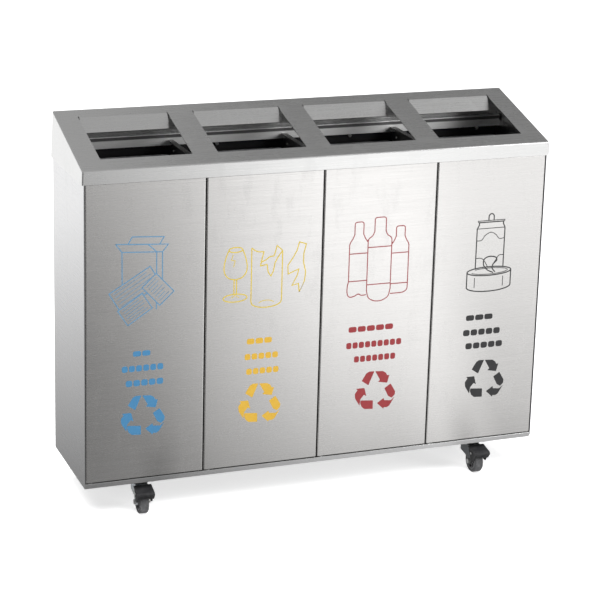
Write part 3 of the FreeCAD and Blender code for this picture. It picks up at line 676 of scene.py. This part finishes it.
def three_bottles():
    out = []

    def half(cx, top, neck, body, zs):
        """Right half outline from the cap down: zs = top, cap, neck end, shoulder end, bottom."""
        zt, zc, zn, zsld, zb = zs
        return [(cx, zt)] + arc(cx + neck - 5, zt - 5, 5, 5, 90, 0, 4) + [(cx + neck, zn)] + smooth_path([(cx + neck, zn), (cx + neck + 4, zn - 9), (cx + body - 2, zsld + 6), (cx + body, zsld)], 3)

    def mirror(cx, pts):
        return [(2 * cx - x, z) for x, z in pts]

    # middle bottle, whole
    c = 126.3
    r = half(c, 596, 12.5, 26.5, (595, 0, 566, 545, 415))
    bottom = smooth_path([(c + 26.5, 545), (c + 26.5, 440)], 1) + smooth_path([(c + 26.5, 440), (c + 22, 424), (c + 10, 416.5), (c, 415)], 4)
    right = r + bottom
    out.append((right, False))
    out.append((mirror(c, right), False))
    out.append(([(c - 26.5, 532), (c + 26.5, 532)], False))
    out.append(([(c - 26.5, 452), (c + 26.5, 452)], False))
    # left bottle, its right flank behind the middle one
    c = 79.5
    l = half(c, 589, 9.8, 20.5, (588, 0, 562, 540, 428))
    left = mirror(c, l) + [(c - 20.5, 540), (c - 20.5, 462)] + smooth_path([(c - 20.5, 462), (c - 23, 450), (c - 22.5, 436), (c - 17, 428.5), (c - 6, 430), (c + 2, 434), (c + 9, 430.5), (c + 19.5, 431)], 3)
    out.append((left, False))
    out.append((l[:-3] + [(c + 19.5, 549)], False))
    out.append(([(c - 20.5, 521), (c + 20, 521)], False))
    out.append(([(c - 20.5, 462), (c + 20, 462)], False))
    # right bottle, its left flank behind the middle one
    c = 172.0
    r = half(c, 574, 9.8, 19.5, (573.5, 0, 552, 531, 428))
    right = r + [(c + 19.5, 531), (c + 19.5, 444)] + smooth_path([(c + 19.5, 444), (c + 18, 435), (c + 9, 429.5), (c - 8, 429), (c - 19, 429)], 3)
    out.append((right, False))
    out.append((mirror(c, r)[:-3] + [(c - 18.5, 540)], False))
    out.append(([(c - 19.2, 516), (c + 19.5, 516)], False))
    out.append(([(c - 19.2, 450), (c + 19.5, 450)], False))
    return out


def can_and_tin():
    out = []
    tin_rim = arc(379, 459, 51, 9.5, 0, 360, 40)[:-1]
    body = [(346.5, 556), (346.5, 440), (411, 440), (411, 556)]
    hide = rect_at(379, 440, 104, 40, 0)

    def put(pts, closed=False, w=LINE_W):
        runs = [(pts + [pts[0]]) if closed else list(pts)]
        for poly in (tin_rim, hide):
            nxt = []
            for r in runs:
                nxt += hide_inside(r, poly)
            runs = nxt
        for r in runs:
            out.append((r, False, w))

    # drinks can with a ring pull and a wavy band
    put([(346.5, 445), (346.5, 553), (351, 561), (351, 566.5), (407, 566.5), (407, 561), (411, 553), (411, 445)])
    put([(346.5, 553), (411, 553)], False, 1.3)
    put([(349, 566.5), (348, 570), (410, 570), (409, 566.5)], False, 1.3)
    put([(372.5, 570)] + arc(378.5, 578, 6, 6.5, 180, 0, 10) + [(384.5, 570)])
    put(smooth_path([(346.5, 527), (358, 528), (366, 538), (379, 544), (391, 538), (399, 529), (411, 530)], 5), False, 1.3)
    put(smooth_path([(346.5, 489), (360, 488), (368, 480), (374, 470)], 4), False, 1.3)
    put(smooth_path([(411, 493), (400, 492), (393, 482), (386, 472)], 4), False, 1.3)
    # open tin with its lid rolled back
    out.append((tin_rim, True))
    out.append((arc(379, 459, 43, 6.6, 200, 500, 30), False, 1.2))
    out.append(([(328, 459), (328, 426)] + arc(379, 426, 51, 11.5, 180, 360, 24) + [(430, 459)], False))
    out.append(([(346, 446), (346, 424)], False, 1.2))
    out.append(([(412, 446), (412, 424)], False, 1.2))
    lid = smooth_path([(389, 455), (376, 461), (366, 472), (366, 485), (377, 491), (392, 489), (396, 482), (388, 474), (386, 465), (393, 456)], 4)
    out.append((lid, False))
    return out


ARROWS = (
    ((-31.4, 24.0), (-21.6, 39.7), (-15.4, 43.5), (-3.3, 43.2), (-16.0, 13.3)),
    ((-1.5, 43.0), (16.4, 41.6), (23.0, 37.5), (26.7, 30.9), (31.2, 32.0), (26.7, 14.6), (5.8, 18.7), (10.2, 22.7)),
    ((20.8, 3.0), (34.9, 12.0), (46.0, -6.6), (45.1, -13.8), (38.4, -20.3), (30.2, -15.4)),
    ((5.2, -28.9), (20.5, -18.8), (21.2, -23.9), (36.3, -25.7), (44.7, -18.8), (33.3, -37.6), (27.6, -40.4), (20.7, -39.6), (20.8, -43.5)),
    ((-32.1, -19.0), (-4.3, -21.6), (-4.1, -40.7), (-23.3, -39.1), (-29.8, -33.3), (-33.0, -25.1)),
    ((-44.1, 8.1), (-24.5, 8.1), (-19.7, -10.9), (-25.1, -6.9), (-32.8, -16.1), (-34.6, -30.5), (-45.0, -13.6), (-46.0, -3.4), (-40.0, 4.8)),
)


def chasing_arrows(name, cx, cz, colour, body):
    """Three plain bent arrows that chase each other round a triangle, each in two flat pieces: a tail and a head."""
    bm = bmesh.new()
    for poly in ARROWS:
        # every corner eased by a short round
        pts, n = [], len(poly)
        for i in range(n):
            a, b, c = Vector(poly[i - 1]), Vector(poly[i]), Vector(poly[(i + 1) % n])
            u, v = (a - b), (c - b)
            r = min(1.3, u.length * 0.3, v.length * 0.3)
            p, q = b + u.normalized() * r, b + v.normalized() * r
            for t in (0.0, 0.5, 1.0):
                w = p * (1 - t) ** 2 + b * 2 * t * (1 - t) + q * t ** 2
                pts.append(((cx + w.x) * MM, (cz + w.y) * MM))
        plate(bm, pts, FILM_FRONT, FILM_BACK)
    return new_object(name, bm, FILMS[colour], body)


def bars(name, rows, colour, body):
    """Plain rounded blocks where a printed label carries its words."""
    bm = bmesh.new()
    for cx, cz, w, h, n in rows:
        gap = 2.6
        bw = (w - gap * (n - 1)) / n
        for k in range(n):
            x = cx - w / 2 + bw / 2 + k * (bw + gap)
            pts = round_rect(x, cz, bw, h, min(h, bw) * 0.32, 3)
            plate(bm, [(px * MM, pz * MM) for px, pz in pts], FILM_FRONT, FILM_BACK)
    return new_object(name, bm, FILMS[colour], body)


drawing("label_1_drawing", carton_and_sheets(), "blue", "door_1")
drawing("label_2_drawing", glass_jar_shard(), "yellow", "door_2")
drawing("label_3_drawing", three_bottles(), "red", "door_3")
drawing("label_4_drawing", can_and_tin(), "black", "door_4", 1.3)
bars("label_1_bars", [(-382, 350, 36, 11, 2), (-380, 319, 86, 13, 6), (-376, 288, 78, 13, 5)], "blue", "door_1")
bars("label_2_bars", [(-133, 353, 54, 12, 3), (-128, 320, 72, 13, 5), (-125, 288, 70, 13, 5)], "yellow", "door_2")
bars("label_3_bars", [(113, 357, 100, 12, 5), (121, 322, 124, 13.5, 9), (124, 291, 93, 13.5, 7)], "red", "door_3")
bars("label_4_bars", [(362, 358, 62, 12, 3), (369, 325, 86, 13.5, 5), (376, 295, 86, 13.5, 5)], "black", "door_4")
for i, (cx, colour) in enumerate(((-379, "blue"), (-130, "yellow"), (128, "red"), (382, "black")), 1):
    chasing_arrows("label_%d_arrows" % i, cx, 217.5, colour, "door_%d" % i)


# ---------------------------------------------------------------------------------------------
# small shape detail on the castors, doors and carcass
# ---------------------------------------------------------------------------------------------
CASTORS = ((-0.375, -0.082, -2.0, True), (0.375, -0.082, 2.0, True), (-0.375, 0.080, -12.0, False), (0.375, 0.080, 14.0, False))
TRAIL, WHEEL_R = 0.024, 0.025


def castor_frame(n):
    x, y, turn, _ = CASTORS[n - 1]
    return Matrix.Translation((x, y + SHIFT_Y, 0)) @ Matrix.Rotation(math.radians(turn), 4, "Z")


def lathe(bm, profile, centre, segs, M):
    """Turns a closed profile of (offset along the wheel's axle, radius) about the axle."""
    rings = []
    for k in range(segs):
        a = 2 * math.pi * k / segs
        rings.append([bm.verts.new(M @ Vector((v, centre[1] + r * math.cos(a), centre[2] + r * math.sin(a)))) for v, r in profile])
    m = len(profile)
    for k in range(segs):
        A, B = rings[k], rings[(k + 1) % segs]
        for i in range(m):
            j = (i + 1) % m
            bm.faces.new([A[i], A[j], B[j], B[i]])


def block(bm, corners, M):
    """A six-sided block from 4 lower and 4 upper corners."""
    v = [bm.verts.new(M @ Vector(c)) for c in corners]
    for f in ((0, 3, 2, 1), (4, 5, 6, 7), (0, 1, 5, 4), (1, 2, 6, 5), (2, 3, 7, 6), (3, 0, 4, 7)):
        bm.faces.new([v[i] for i in f])


for n in range(1, 5):
    M = castor_frame(n)
    c = (0.0, -TRAIL, WHEEL_R)
    # ribs in the hub's recess on both sides
    bm = bmesh.new()
    for side in (-1, 1):
        for k in range(6):
            a = math.radians(60 * k + 15)
            t = Vector((0, -math.sin(a), math.cos(a)))
            d = Vector((0, math.cos(a), math.sin(a)))
            r0, r1, hw = 0.0062, 0.0157, 0.0009
            v0, v1 = side * 0.0030, side * 0.0074
            q = [Vector(c) + d * r + t * s for r, s in ((r0, -hw), (r1, -hw * 1.3), (r1, hw * 1.3), (r0, hw))]
            lo = [(v0, p.y, p.z) for p in q]
            hi = [(v1, (p.y - c[1]) * 0.995 + c[1], (p.z - c[2]) * 0.995 + c[2]) for p in q]
            block(bm, lo + hi, M)
    new_object("hub_ribs_%d" % n, bm, HUB_GREY, "wheel_%d" % n)
    # moulded ring on both tyre walls
    bm = bmesh.new()
    for side in (-1, 1):
        prof = [(side * 0.0094, 0.0196), (side * 0.0099, 0.0199), (side * 0.0101, 0.0204), (side * 0.0099, 0.0209), (side * 0.0094, 0.0212)]
        lathe(bm, prof, c, 48, M)
    new_object("tyre_wall_rings_%d" % n, bm, RUBBER, "wheel_%d" % n, smooth=True)
    # one ball-race lip at the swivel
    bm = bmesh.new()
    prof = [(0.0, 0.0), ]
    rings = []
    segs = 40
    ring_prof = [(0.01755, 0.0588), (0.01900, 0.0590), (0.01930, 0.0595), (0.01900, 0.0600), (0.01755, 0.0600)]
    for k in range(segs):
        a = 2 * math.pi * k / segs
        rings.append([bm.verts.new(M @ Vector((r * math.cos(a), r * math.sin(a), z))) for r, z in ring_prof])
    for k in range(segs):
        A, B = rings[k], rings[(k + 1) % segs]
        for i in range(len(ring_prof)):
            j = (i + 1) % len(ring_prof)
            bm.faces.new([A[i], A[j], B[j], B[i]])
    new_object("swivel_race_lip_%d" % n, bm, ZINC if n == 1 else ZINC_DARK, "castor_%d" % n, smooth=True)

for n, side in ((1, "left"), (2, "right")):
    M = castor_frame(n)
    # three grip bars across the pedal's tip
    bm = bmesh.new()
    for u0, z0, u1, z1 in ((0.0583, 0.0488, 0.0574, 0.0474), (0.0564, 0.0459, 0.0555, 0.0445), (0.0545, 0.0430, 0.0536, 0.0416)):
        out = Vector((0, -0.84, -0.53)) * 0.0009
        lo, hi = [], []
        for v in (-0.0150, 0.0150):
            lo.append((v, -u0, z0))
            lo.append((v, -u1, z1))
        lo = [lo[0], lo[1], lo[3], lo[2]]
        hi = [(x * 0.985, y + out.y, z + out.z) for x, y, z in lo]
        lo = [(x, y - out.y, z - out.z) for x, y, z in lo]
        block(bm, lo + hi, M)
    new_object("pedal_grip_%s" % side, bm, BLACK, "pedal_%s" % side)


def discs(bm, places, r, depth, axis, segs=14):
    """Low domed discs, such as spot welds: axis is the direction they stand out in."""
    ax = Vector(axis)
    u = Vector((0, 0, 1)) if abs(ax.z) < 0.5 else Vector((1, 0, 0))
    w = ax.cross(u)
    for p in places:
        p = Vector(p)
        rim = [bm.verts.new(p - ax * depth * 0.5 + (u * math.cos(2 * math.pi * k / segs) + w * math.sin(2 * math.pi * k / segs)) * r) for k in range(segs)]
        mid = [bm.verts.new(p + ax * depth * 0.7 + (u * math.cos(2 * math.pi * k / segs) + w * math.sin(2 * math.pi * k / segs)) * r * 0.72) for k in range(segs)]
        top = bm.verts.new(p + ax * depth * 0.45)
        base = bm.verts.new(p - ax * depth * 0.5)
        for k in range(segs):
            j = (k + 1) % segs
            bm.faces.new([rim[k], rim[j], mid[j], mid[k]])
            bm.faces.new([mid[k], mid[j], top])
            bm.faces.new([rim[j], rim[k], base])


DOOR_X = ((-0.49725, -0.2511), (-0.2489, -0.0011), (0.0011, 0.2489), (0.2511, 0.49725))
for i, (x0, x1) in enumerate(DOOR_X, 1):
    # spot welds that hold the door's inner panel
    y = FACE_Y + 0.0168
    bm = bmesh.new()
    places = [(x, y, z) for x in (x0 + 0.010, x1 - 0.010) for z in [0.12 + 0.09 * k for k in range(7)] if abs(z - 0.662) > 0.02]
    discs(bm, places, 0.0026, 0.00016, (0, 1, 0))
    new_object("door_spot_welds_%d" % i, bm, GALV, "door_%d" % i, smooth=True)

bm = bmesh.new()
places = [(x + 0.0085, 0.121 + SHIFT_Y, z) for x in (-0.25, 0.0, 0.25) for z in [0.11 + 0.085 * k for k in range(7)]]
places += [(x, 0.121 + SHIFT_Y, z) for x in (-0.4915, 0.4915) for z in [0.11 + 0.085 * k for k in range(7)]]
discs(bm, places, 0.0026, 0.00018, (0, 1, 0))
new_object("back_spot_welds", bm, STAINLESS_CROSS, "cabinet", smooth=True)


# ---------------------------------------------------------------------------------------------
# floor, backdrop and light
# ---------------------------------------------------------------------------------------------
def flat_mesh(name, pts, mat):
    bm = bmesh.new()
    bm.faces.new([bm.verts.new(p) for p in pts])
    me = bpy.data.meshes.new(name)
    bm.to_mesh(me)
    bm.free()
    me.materials.append(mat)
    o = bpy.data.objects.new(name, me)
    SCENE.collection.objects.link(o)
    return o


def emission(name, colour, strength):
    m = bpy.data.materials.new(name)
    m.use_nodes = True
    nt = m.node_tree
    nt.nodes.clear()
    out = nt.nodes.new("ShaderNodeOutputMaterial")
    e = nt.nodes.new("ShaderNodeEmission")
    e.inputs["Color"].default_value = (*colour, 1)
    e.inputs["Strength"].default_value = strength
    nt.links.new(e.outputs[0], out.inputs["Surface"])
    return m, nt, e


floor_mat = bpy.data.materials.new("pale_floor")
floor_mat.use_nodes = True
floor_mat.node_tree.nodes["Principled BSDF"].inputs["Base Color"].default_value = (0.90, 0.90, 0.90, 1)
floor_mat.node_tree.nodes["Principled BSDF"].inputs["Roughness"].default_value = 0.9
floor_mat.node_tree.nodes["Principled BSDF"].inputs["Specular IOR Level"].default_value = 0.0
floor_mat.node_tree.nodes["Principled BSDF"].inputs["Emission Color"].default_value = (1.0, 1.0, 1.0, 1)
floor_mat.node_tree.nodes["Principled BSDF"].inputs["Emission Strength"].default_value = 0.56
S = 30.0
floor = flat_mesh("floor", [(-S, -S, -0.0004), (S, -S, -0.0004), (S, S, -0.0004), (-S, S, -0.0004)], floor_mat)
floor.visible_glossy = False

# what the steel sees of the floor: a soft grey sweep, brighter to the right and away from the cabinet
sweep, nt, em = emission("floor_sweep", (1, 1, 1), 1.0)
m = Mat.__new__(Mat)
m.m, m.nt = sweep, nt
tc = m.add("ShaderNodeTexCoord")
m.pos = tc.outputs["Object"]
sep = m.add("ShaderNodeSeparateXYZ")
m.link(m.pos, sep.inputs[0])
X, Y = sep.outputs["X"], sep.outputs["Y"]
fx = m.ramp(m.remap(X, -1.5, 3.5, 0.0, 1.0), [
    (0.00, (0.14,) * 3), (0.18, (0.17,) * 3), (0.26, (0.24,) * 3), (0.34, (0.46,) * 3), (0.44, (0.86,) * 3), (0.54, (1.0,) * 3), (0.66, (0.92,) * 3), (0.80, (0.60,) * 3), (1.0, (0.5,) * 3)])
front_level = m.math("MULTIPLY", fx, 2.05)
# the sweep fades a little towards the right end of the front
u = m.math("ADD", X, m.math("MULTIPLY", m.math("ADD", Y, 0.113), 0.386))
v = m.math("MULTIPLY", m.math("SUBTRACT", -0.113, Y), 0.31)
fade = m.math("MULTIPLY", m.remap(u, 0.34, 0.46, 0.0, 1.0), m.remap(v, 0.35, 0.70, 0.46, 0.20))
front_level = m.math("MULTIPLY", front_level, m.math("SUBTRACT", 1.0, fade))
# lower right is a little darker, and a soft dark patch stands over each front castor
low = m.math("MULTIPLY", m.remap(u, 0.08, 0.20, 0.0, 1.0), m.remap(v, 0.38, 0.50, 0.13, 0.0))
front_level = m.math("MULTIPLY", front_level, m.math("SUBTRACT", 1.0, low))
for cx in (-0.362, 0.362):
    across = m.remap(m.math("ABSOLUTE", m.math("SUBTRACT", u, cx)), 0.012, 0.045, 1.0, 0.0)
    patch = m.math("MULTIPLY", across, m.remap(v, 0.085, 0.135, 0.42, 0.0))
    front_level = m.math("MULTIPLY", front_level, m.math("SUBTRACT", 1.0, patch))
fl = m.ramp(m.remap(u, -0.6, 0.4, 0.0, 1.0), [(0.0, (0.57,) * 3), (0.16, (0.68,) * 3), (0.38, (0.90,) * 3), (0.60, (0.93,) * 3), (0.80, (0.93,) * 3), (0.96, (1.0,) * 3)])
front_level = m.math("MULTIPLY", front_level, fl)
is_back = m.remap(Y, -0.35, 0.15, 0.0, 1.0)
dx = m.math("MAXIMUM", m.math("SUBTRACT", m.math("ABSOLUTE", X), 0.5), 0.0)
dy = m.math("MAXIMUM", m.math("SUBTRACT", m.math("ABSOLUTE", Y), 0.12), 0.0)
dist = m.math("SQRT", m.math("ADD", m.math("MULTIPLY", dx, dx), m.math("MULTIPLY", dy, dy)))
front_level = m.math("MULTIPLY", front_level, m.remap(dist, 0.0, 0.6, 0.88, 1.0))
back_level = m.remap(dist, 0.0, 2.25, 0.30, 1.20)
level = m.math("ADD", m.math("MULTIPLY", front_level, m.math("SUBTRACT", 1.0, is_back)), m.math("MULTIPLY", is_back, back_level))
m.link(level, em.inputs["Strength"])
card = flat_mesh("floor_sweep_card", [(-9, -9, -0.001), (9, -9, -0.001), (9, 9, -0.001), (-9, 9, -0.001)], sweep)
for flag in ("visible_camera", "visible_diffuse", "visible_shadow", "visible_transmission", "visible_volume_scatter"):
    setattr(card, flag, False)

# plain white backdrop, seen by the camera only
dome_mat, _, _ = emission("backdrop_white", (1, 1, 1), 1.0)
bm = bmesh.new()
rows = []
for i in range(9):
    t = math.radians(-4 + 94 * i / 8)
    rows.append([bm.verts.new((45 * math.cos(t) * math.cos(2 * math.pi * k / 32), 45 * math.cos(t) * math.sin(2 * math.pi * k / 32), 45 * math.sin(t))) for k in range(32)])
for i in range(8):
    for k in range(32):
        bm.faces.new([rows[i][k], rows[i][(k + 1) % 32], rows[i + 1][(k + 1) % 32], rows[i + 1][k]])
me = bpy.data.meshes.new("backdrop")
bm.to_mesh(me)
bm.free()
me.materials.append(dome_mat)
dome = bpy.data.objects.new("backdrop", me)
SCENE.collection.objects.link(dome)
for flag in ("visible_glossy", "visible_diffuse", "visible_shadow", "visible_transmission", "visible_volume_scatter"):
    setattr(dome, flag, False)

world = bpy.data.worlds.new("studio")
SCENE.world = world
world.use_nodes = True
world.node_tree.nodes["Background"].inputs["Color"].default_value = (1.0, 1.0, 1.0, 1)
world.node_tree.nodes["Background"].inputs["Strength"].default_value = 0.46


def softbox(name, place, target, size, energy, glossy=True):
    l = bpy.data.lights.new(name, "AREA")
    l.shape = "RECTANGLE"
    l.size, l.size_y = size
    l.energy = energy
    o = bpy.data.objects.new(name, l)
    SCENE.collection.objects.link(o)
    o.location = place
    o.rotation_euler = (Vector(target) - Vector(place)).to_track_quat("-Z", "Y").to_euler()
    o.visible_glossy = glossy
    return o


softbox("key_overhead", (-0.6, -1.6, 4.6), (0, 0, 0), (5.0, 5.0), 560, glossy=False)
softbox("fill_front_right", (3.6, -3.4, 2.2), (0, 0, 0.4), (2.6, 2.6), 120, glossy=True)


def dark_card(name, pts, level):
    mt, _, _ = emission(name, (1, 1, 1), level)
    o = flat_mesh(name, pts, mt)
    for flag in ("visible_camera", "visible_diffuse", "visible_shadow", "visible_transmission", "visible_volume_scatter"):
        setattr(o, flag, False)
    return o


# a grey flag behind and above to the right, which darkens the hood's slope towards its right end
dark_card("flag_rear_right", [(0.9, 2.2, 1.3), (5.0, 1.6, 1.3), (5.0, 2.4, 5.5), (0.9, 3.6, 5.5)], 0.22)

# ---------------------------------------------------------------------------------------------
# camera
# ---------------------------------------------------------------------------------------------
cam_data = bpy.data.cameras.new("camera")
cam = bpy.data.objects.new("camera", cam_data)
SCENE.collection.objects.link(cam)
right = Vector((0.93523892, -0.35307517, 0.02580857))
up = Vector((0.07539074, 0.26986628, 0.95994189))
back = Vector((-0.3458965, -0.89582929, 0.27900805))
M = Matrix.Identity(4)
for r in range(3):
    M[r][0], M[r][1], M[r][2] = right[r], up[r], back[r]
M[0][3], M[1][3], M[2][3] = -1.461139, -3.769148, 1.677354
cam.matrix_world = M
cam_data.sensor_width = 36.0
cam_data.lens = 120.885
cam_data.shift_x = 0.0
cam_data.shift_y = -50.0 / 600.0
cam_data.clip_start = 0.05
cam_data.clip_end = 200.0
SCENE.camera = cam
SCENE.view_settings.view_transform = "Standard"
SCENE.view_settings.look = "None"
